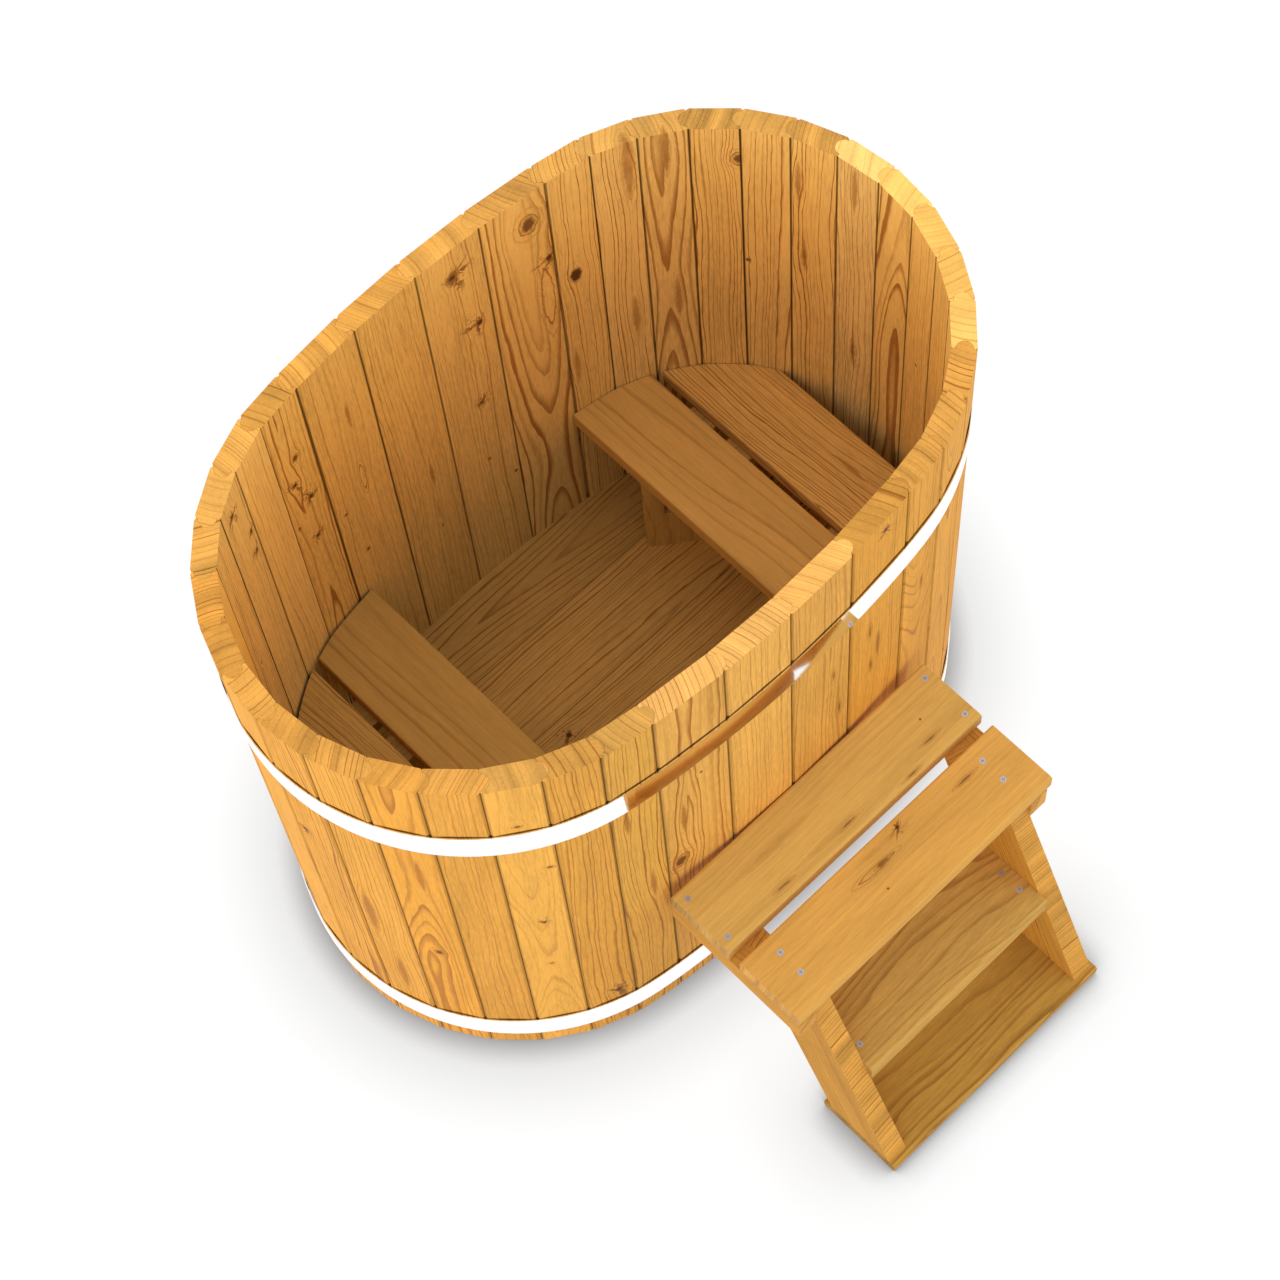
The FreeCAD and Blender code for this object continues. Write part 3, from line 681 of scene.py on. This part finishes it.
def wood_shader(graph, shader, place, end, figure, knots):
    """Wood with a figure and its knots on a Principled shader; returns the colour's socket."""
    over = {"Place": place, "Grain": 0.0, "Heart": 0.0}
    rough = graph.noise(graph.scale(place, 1 / knot_rough_size), detail=2.0) if knots else 0.0
    for u, w, v, radius, form in knots:
        shown = dict(knot_forms[form])
        spot = {
            "Centre": (u, w, v),
            "Size": (radius, radius + knot_depth, radius * shown.pop("Stretch")),
            "Rough": rough,
        }
        made = feed_group(graph, knot_tree, {**over, **shown, **spot})
        over = {label: made[label] for label in over}
        if form == "star":
            lines = feed_group(graph, star_tree, {**over, **spot, "Place": place})
            over.update({label: lines[label] for label in ("Grain", "Heart")})
    wood = feed_group(graph, wood_tree, {**figure, **over, "End": end})
    graph.feed(shader.inputs["Roughness"], wood["Roughness"])
    feed_bump(graph, shader, wood_bump, wood_bump_height, wood["Height"])
    shader.inputs["Specular IOR Level"].default_value = wood_specular
    return wood["Colour"]


def by_start(table, name, default):
    """Value of the first key in a table that the name starts with."""
    return next((value for start, value in table.items() if name.startswith(start)), default)


def piece_tone_and_light(name):
    """Tint of a piece: its own tone, with painted light and shade."""
    return by_start(tone_and_painted_light, name, plain_tint)


# Staves

def stave_axes(node):
    """A stave's across, inward and upward axes, its outer face's middle at the ground, and half the widths
    of its outer and inner faces."""
    points = [vertex.co for vertex in node.data.vertices]
    widest = max(node.data.polygons, key=lambda face: face.area)
    outward = Vector((widest.normal.x, widest.normal.y, 0)).normalized()
    if outward.dot(widest.center) < 0:
        outward.negate()
    across = AXIS_Z.cross(outward)
    far = max(point.dot(outward) for point in points)
    near = min(point.dot(outward) for point in points)
    outer = [point.dot(across) for point in points if point.dot(outward) > far - flat_tolerance]
    inner = [point.dot(across) for point in points if point.dot(outward) < near + flat_tolerance]
    middle = (min(outer) + max(outer)) / 2
    halves = [(max(face) - min(face)) / 2 * millimetres for face in (outer, inner)]
    return across, -outward, AXIS_Z, across * middle + outward * far, halves


def around(middle, edge):
    """The two ends of an edge that lies about a middle."""
    return middle + edge[0], middle + edge[1]


def stave_marks(graph, colour, place, end, halves, joint_shade_share):
    """A stave's colour, with painted shade in the joints and grooves, a painted shadow above the hoops, and
    painted light on its inner face, less red towards the bottom.
    """
    outer_half, inner_half = halves
    u, w, v = graph.split(place)
    u = graph.math("ABSOLUTE", u)
    face = graph.math("SUBTRACT", 1.0, end)
    outside = graph.times(graph.ramp(w, *outer_depths), face)
    inside = graph.times(graph.ramp(w, *inner_depths), face)
    # Painted light on the inner face, less red towards the bottom
    painted_light_inside = graph.blend(graph.ramp(v, *painted_low_inner_heights), painted_inner_light, painted_low_inner_light)
    colour = graph.tinted(colour, graph.blend(inside, plain_tint, painted_light_inside))
    # Painted shade in the outer V-grooves, with a darker painted line at their bottoms
    groove_shade = graph.times(graph.ramp(u, *around(outer_half, groove_shade_edge)), outside)
    colour = graph.mix(graph.times(groove_shade, groove_shade_share), colour, groove_shade_olive)
    deep = graph.times(graph.ramp(u, *around(outer_half, groove_bottom_shade_edge)), outside)
    colour = graph.mix(graph.times(deep, groove_bottom_shade_share), colour, crevice_shade_brown)
    # Painted shade in the joints of the inner face
    joint_shade = graph.times(graph.ramp(u, *around(inner_half, joint_shade_edge)), inside)
    colour = graph.mix(graph.times(joint_shade, joint_shade_share), colour, crevice_shade_brown)
    # Painted shadow just above each hoop's top edge
    for hoop in hoops:
        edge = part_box(hoop)[1].z * millimetres
        line = graph.times(
            graph.ramp(v, *around(edge, hoop_shadow_top_edge)),
            graph.ramp(v, *around(edge, hoop_shadow_low_edge)),
        )
        line = graph.times(line, outside)
        colour = graph.mix(graph.times(line, hoop_shadow_share), colour, crevice_shade_brown)
    return colour


def stave_wood(name):
    """Wood of one stave, with its end lighter or paler on some."""
    draw = random.Random(name)
    across, inward, along, origin, halves = stave_axes(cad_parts[name])
    seen_face, kind, marks = stave_figures[name]
    surface = 0.0 if seen_face == "outer" else stave_thickness
    hidden = stave_thickness - surface
    hidden_marks = random_knots(draw, halves[1] * hidden_spread)
    knots = [(u, surface, v, radius, form) for u, v, radius, form in marks]
    knots += [(u, hidden, v, radius, form) for u, v, radius, form in hidden_marks]
    made, graph, shader = new_material("wood_" + name)
    place = grain_place(graph, across, inward, along, origin)
    end = facing(graph, along)
    figure = make_figure(kind, draw, surface)
    end_shift = by_start(end_shifts, name, 0.0)
    figure["End Tone"] += end_shift
    pale = end_shift == pale_end
    if pale:
        figure["End Contrast"] *= pale_contrast
    if seen_face == "inner":
        figure["Fibre"] = inner_fibre
        figure["Contrast"] *= inner_contrast
    colour = wood_shader(graph, shader, place, end, figure, knots)
    if pale:
        colour = graph.tinted(colour, graph.blend(end, plain_tint, pale_tint))
    warm = draw.uniform(-1, 1)
    red, green, blue = piece_tone_and_light(name)
    warm_tint = (red, green * (1.0 - warm_green * warm), blue * (1.0 - warm_blue * warm))
    colour = graph.tinted(colour, warm_tint)
    joint_shade_share = draw.uniform(*joint_shade_share_range)
    colour = stave_marks(graph, colour, place, end, halves, joint_shade_share)
    graph.feed(shader.inputs["Base Color"], colour)
    return made


# Boards

def board_axes(name):
    """A board's across, depth and long axes."""
    if name.startswith("step_leg"):
        across = Vector((0, math.cos(leg_slant), -math.sin(leg_slant)))
        return across, -AXIS_X, Vector((0, math.sin(leg_slant), math.cos(leg_slant)))
    if name.endswith("trestles"):
        return AXIS_X, AXIS_Y, AXIS_Z
    if name in boards_along_y:
        return AXIS_X, -AXIS_Z, AXIS_Y
    return AXIS_Y, -AXIS_Z, -AXIS_X


def board_wood(name):
    """Wood of a plain board; the legs' narrow edges are marked across by the saw."""
    draw = random.Random(name)
    kind, marks = board_figures.get(name, ("plain", []))
    knots = [(u, 0.0, v, radius, form) for u, v, radius, form in marks]
    across, depth, along = board_axes(name)
    low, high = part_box(name)
    top = Vector(((low.x + high.x) / 2, (low.y + high.y) / 2, high.z))
    made, graph, shader = new_material("wood_" + name)
    place = grain_place(graph, across, depth, along, top)
    figure = make_figure(kind, draw, 0.0)
    end = facing(graph, along)
    if name.startswith("step_leg"):
        sawn = facing(graph, across)
        u, w, v = graph.split(place)
        place = graph.blend(sawn, place, graph.join(graph.math("ADD", v, sawn_shift), w, u))
        end = graph.most(end, sawn)
        figure["End Tone"] = sawn_tone
    colour = wood_shader(graph, shader, place, end, figure, knots)
    graph.feed(shader.inputs["Base Color"], graph.tinted(colour, piece_tone_and_light(name)))
    return made


def floor_wood(name):
    """Wood of the floor: each board has its own figure, broad on the far one, and painted shade along the
    seams.
    """
    draw = random.Random(name)
    kind, marks = board_figures[name]
    across, depth, along = board_axes(name)
    low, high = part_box(name)
    corner = Vector(((low.x + high.x) / 2, low.y, high.z))
    pitch = (high.y - low.y) * millimetres / floor_board_count
    knots = []
    for y, v, radius, form in marks:
        row, rest = divmod(y - low.y * millimetres, pitch)
        knots.append((rest - pitch / 2, 0.0, v + row * floor_board_shift, radius, form))
    made, graph, shader = new_material("wood_" + name)
    u, w, v = graph.split(grain_place(graph, across, depth, along, corner))
    rows = graph.math("DIVIDE", u, pitch)
    row = graph.math("FLOOR", rows)
    off_middle = graph.times(graph.math("SUBTRACT", graph.math("FRACT", rows), 0.5), pitch)
    place = graph.join(off_middle, w, graph.linear(row, floor_board_shift, v))
    last_row = floor_board_count - 1
    far_row = graph.math("GREATER_THAN", row, last_row - 0.5)
    figure = make_figure(kind, draw, 0.0)
    broad = make_figure("broad", draw, 0.0)
    figure["Pith"] = graph.blend(far_row, figure["Pith"], broad["Pith"])
    for label in ("Sway", "Ring", "Contrast", "Wobble"):
        figure[label] = graph.between(far_row, figure[label], broad[label])
    colour = wood_shader(graph, shader, place, facing(graph, along), figure, knots)
    shade = graph.linear(graph.random(row), floor_shade_range, floor_shade_least)
    colour = graph.scale(graph.tinted(colour, piece_tone_and_light(name)), shade)
    # Painted shade along the seams between the boards
    edge = graph.math("SUBTRACT", pitch / 2, graph.math("ABSOLUTE", off_middle))
    seam_shade = graph.times(graph.ramp(edge, *seam_shade_edge), seam_shade_share)
    graph.feed(shader.inputs["Base Color"], graph.mix(seam_shade, colour, crevice_shade_brown))
    return made


# Metal, plastic and rubber

def hoop_steel():
    """Bright polished band."""
    made, graph, shader = new_material("hoop_steel")
    brushed = graph.noise(graph.vector("MULTIPLY", graph.object_place(), brush_scale), detail=2.0)
    share = graph.linear(brushed, brush_contrast, colour_middle)
    graph.feed(shader.inputs["Base Color"], graph.mix(share, band_dull, white))
    shader.inputs["Metallic"].default_value = 1.0
    graph.feed(shader.inputs["Roughness"], graph.linear(brushed, brush_roughness, band_roughness))
    return made


def fastener_steel():
    """Zinc-coated steel with a faint mottle."""
    made, graph, shader = new_material("fastener_steel")
    mottle = graph.noise(graph.scale(graph.object_place(), zinc_scale), detail=3.0)
    share = graph.linear(mottle, zinc_contrast, colour_middle)
    graph.feed(shader.inputs["Base Color"], graph.mix(share, zinc_dark, zinc_light))
    shader.inputs["Metallic"].default_value = zinc_metallic
    graph.feed(shader.inputs["Roughness"], graph.linear(mottle, mottle_roughness, zinc_roughness))
    return made


def moulded(name, colour, roughness):
    """Moulded plastic or rubber with a fine grain."""
    made, graph, shader = new_material(name)
    place = graph.object_place()
    grain = graph.noise(graph.scale(place, mould_scale), detail=2.0)
    wear = graph.noise(graph.scale(place, wear_scale), detail=3.0)
    graph.feed(shader.inputs["Base Color"], graph.scale(colour, graph.linear(wear, wear_shade, 1.0)))
    graph.feed(shader.inputs["Roughness"], graph.linear(wear, wear_roughness, roughness))
    feed_bump(graph, shader, mould_bump, mould_bump_height, grain)
    return made


def dress(name, material):
    """Puts a material on a node."""
    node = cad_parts[name]
    if not node.material_slots:
        node.data.materials.append(material)
    for slot in node.material_slots:
        slot.material = material


def dress_all():
    """Materials of every node."""
    steel = fastener_steel()
    band = hoop_steel()
    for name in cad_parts:
        if name.startswith("stave"):
            dress(name, stave_wood(name))
        elif name in hoops:
            dress(name, band)
        elif name in steel_pieces:
            dress(name, steel)
        elif name == "drain_fitting":
            dress(name, moulded("drain_plastic", drain_black, drain_roughness))
        elif name == "drain_plug":
            dress(name, moulded("plug_rubber", plug_black, plug_roughness))
        elif name == "floor_boards":
            dress(name, floor_wood(name))
        else:
            dress(name, board_wood(name))


# Surroundings

def seen(graph):
    """1 for camera, glossy and transmission rays."""
    path = graph.node("ShaderNodeLightPath").outputs
    mirrored = graph.most(path["Is Glossy Ray"], path["Is Transmission Ray"])
    return graph.most(path["Is Camera Ray"], mirrored)


def make_ground():
    """Pale ground that shows white and keeps the object's shadow."""
    size = ground_half_size
    corners = [(-size, -size, 0), (size, -size, 0), (size, size, 0), (-size, size, 0)]
    mesh = bpy.data.meshes.new("ground")
    mesh.from_pydata(corners, [], [(0, 1, 2, 3)])
    ground = bpy.data.objects.new("ground", mesh)
    bpy.context.scene.collection.objects.link(ground)
    made = bpy.data.materials.new("ground")
    made.use_nodes = True
    made.node_tree.nodes.clear()
    graph = Graph(made.node_tree)
    pale = graph.node("ShaderNodeBsdfDiffuse", {"Color": ground_pale})
    shade = graph.node("ShaderNodeBsdfDiffuse", {"Color": ground_shade})
    soft, close = [
        graph.node("ShaderNodeAmbientOcclusion", {"Distance": reach}, samples=shadow_samples).outputs["AO"]
        for reach in (soft_reach, close_reach)
    ]
    open_sky = graph.math("POWER", graph.between(close_share, soft, close), shadow_power)
    shadowed = graph.times(open_sky, ground_glow)
    direct = graph.node("ShaderNodeLightPath").outputs["Is Camera Ray"]
    strength = graph.between(direct, 1.0, shadowed)
    glow = graph.node("ShaderNodeEmission", {"Color": white, "Strength": strength})
    shown = graph.node("ShaderNodeAddShader", {0: shade.outputs[0], 1: glow.outputs[0]})
    both = graph.node("ShaderNodeMixShader", {0: seen(graph), 1: pale.outputs[0], 2: shown.outputs[0]})
    graph.node("ShaderNodeOutputMaterial", {"Surface": both.outputs[0]})
    mesh.materials.append(made)


def make_sky():
    """Soft light from all sides; white where it is seen."""
    world = bpy.data.worlds.new("sky")
    world.use_nodes = True
    world.node_tree.nodes.clear()
    graph = Graph(world.node_tree)
    towards = graph.node("ShaderNodeTexCoord").outputs["Generated"]
    height = graph.split(towards)[2]
    bias = graph.blend(graph.ramp(height, *bias_rise), side_bias, top_bias)
    bias = graph.math("ADD", graph.measure("DOT_PRODUCT", towards, bias), 1.0)
    strength = graph.times(graph.ramp(height, *sky_rise, sky_side, sky_top), bias)
    ambient = graph.node("ShaderNodeBackground", {"Color": white, "Strength": strength})
    plain = graph.node("ShaderNodeBackground", {"Color": white, "Strength": 1.0})
    both = graph.node("ShaderNodeMixShader", {0: seen(graph), 1: ambient.outputs[0], 2: plain.outputs[0]})
    graph.node("ShaderNodeOutputWorld", {"Surface": both.outputs[0]})
    bpy.context.scene.world = world


def make_camera():
    """Camera above the tub's near side."""
    lens = bpy.data.cameras.new("camera")
    lens.lens = camera_lens
    lens.sensor_width = camera_sensor
    camera = bpy.data.objects.new("camera", lens)
    turn = Matrix.Rotation(camera_azimuth, 3, "Z")
    turn = turn @ Matrix.Rotation(math.pi / 2 - camera_elevation, 3, "X")
    turn = turn @ Matrix.Rotation(camera_roll, 3, "Z")
    camera.matrix_world = Matrix.LocRotScale(camera_place, turn, None)
    bpy.context.scene.collection.objects.link(camera)
    bpy.context.scene.camera = camera


dress_all()
make_ground()
make_sky()
make_camera()
bpy.context.scene.view_settings.view_transform = "Standard"
